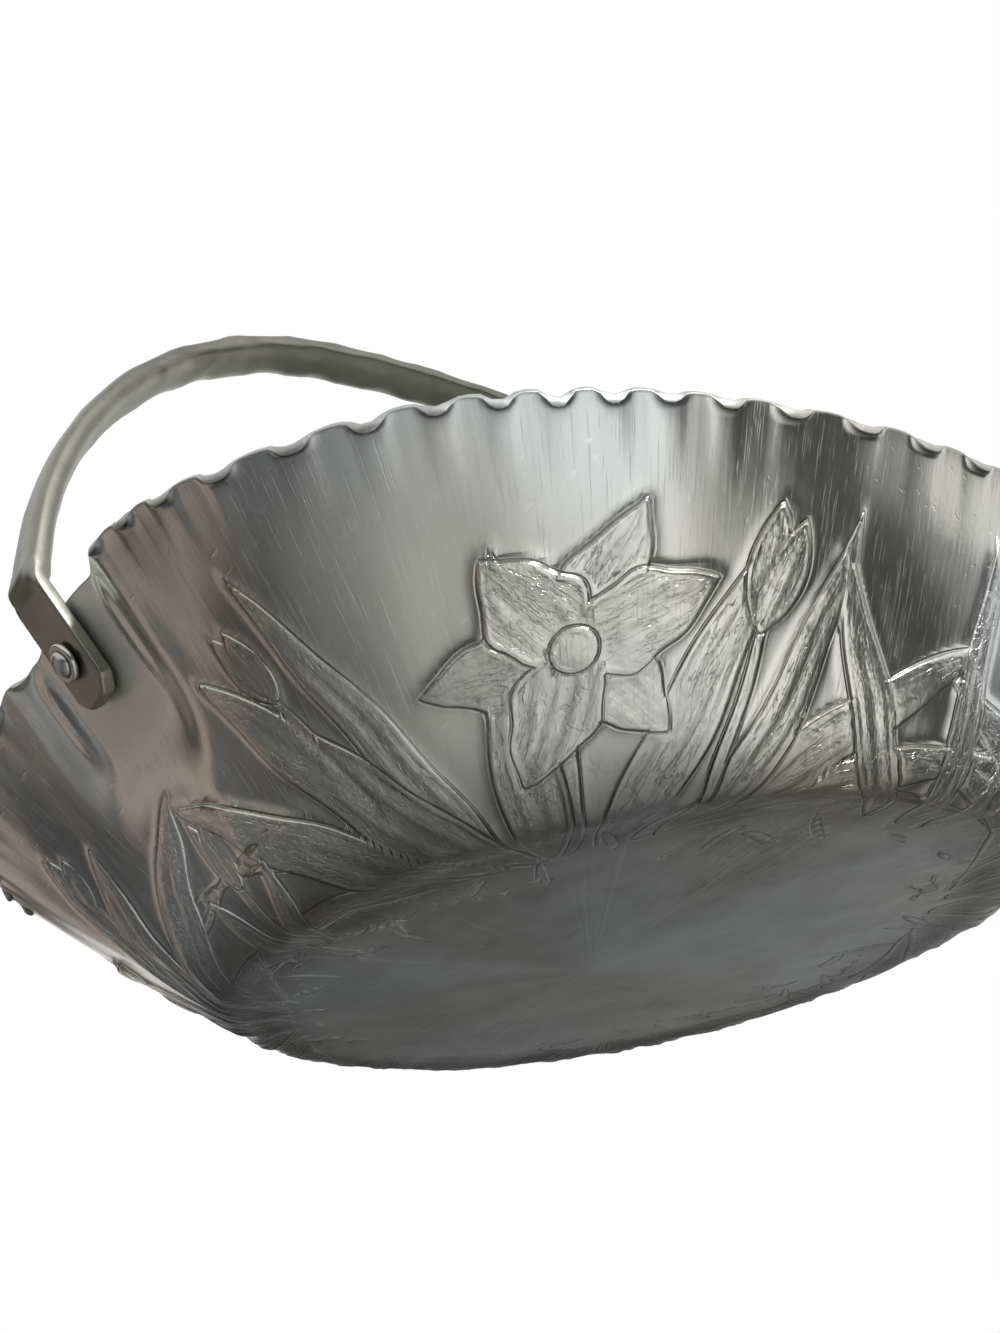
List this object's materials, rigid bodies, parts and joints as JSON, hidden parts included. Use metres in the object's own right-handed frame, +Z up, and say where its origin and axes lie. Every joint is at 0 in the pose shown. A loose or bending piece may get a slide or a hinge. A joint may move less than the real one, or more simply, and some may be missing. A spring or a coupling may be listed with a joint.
{
  "type": "candy dish",
  "caption": "Handled candy dish pressed from sheet aluminium, with flared walls, a crimped rim, flower relief and an arched bail riveted to its sides.",
  "frame": {"origin": "centre of the flat base, on the table", "axes": "+Z up, X through the two riveted lugs, Y along the free sides"},
  "size_m": [0.2088, 0.2054, 0.131],
  "materials": {
    "dish_metal": "satin",
    "bail_metal": "satin",
    "rivet_metal": "satin"
  },
  "bodies": {
    "basin": {"dish": "dish_metal", "rivet_left": "rivet_metal", "rivet_right": "rivet_metal", "burr_left": "rivet_metal", "burr_right": "rivet_metal"},
    "bail": {"bail_handle": "bail_metal"}
  },
  "joints": [
    {"name": "bail_rock", "type": "hinge", "parent": "basin", "child": "bail", "pos_m": [0, 0, 0.04018], "axis": [1, 0, 0], "range_deg": [-5, 5]}
  ]
}
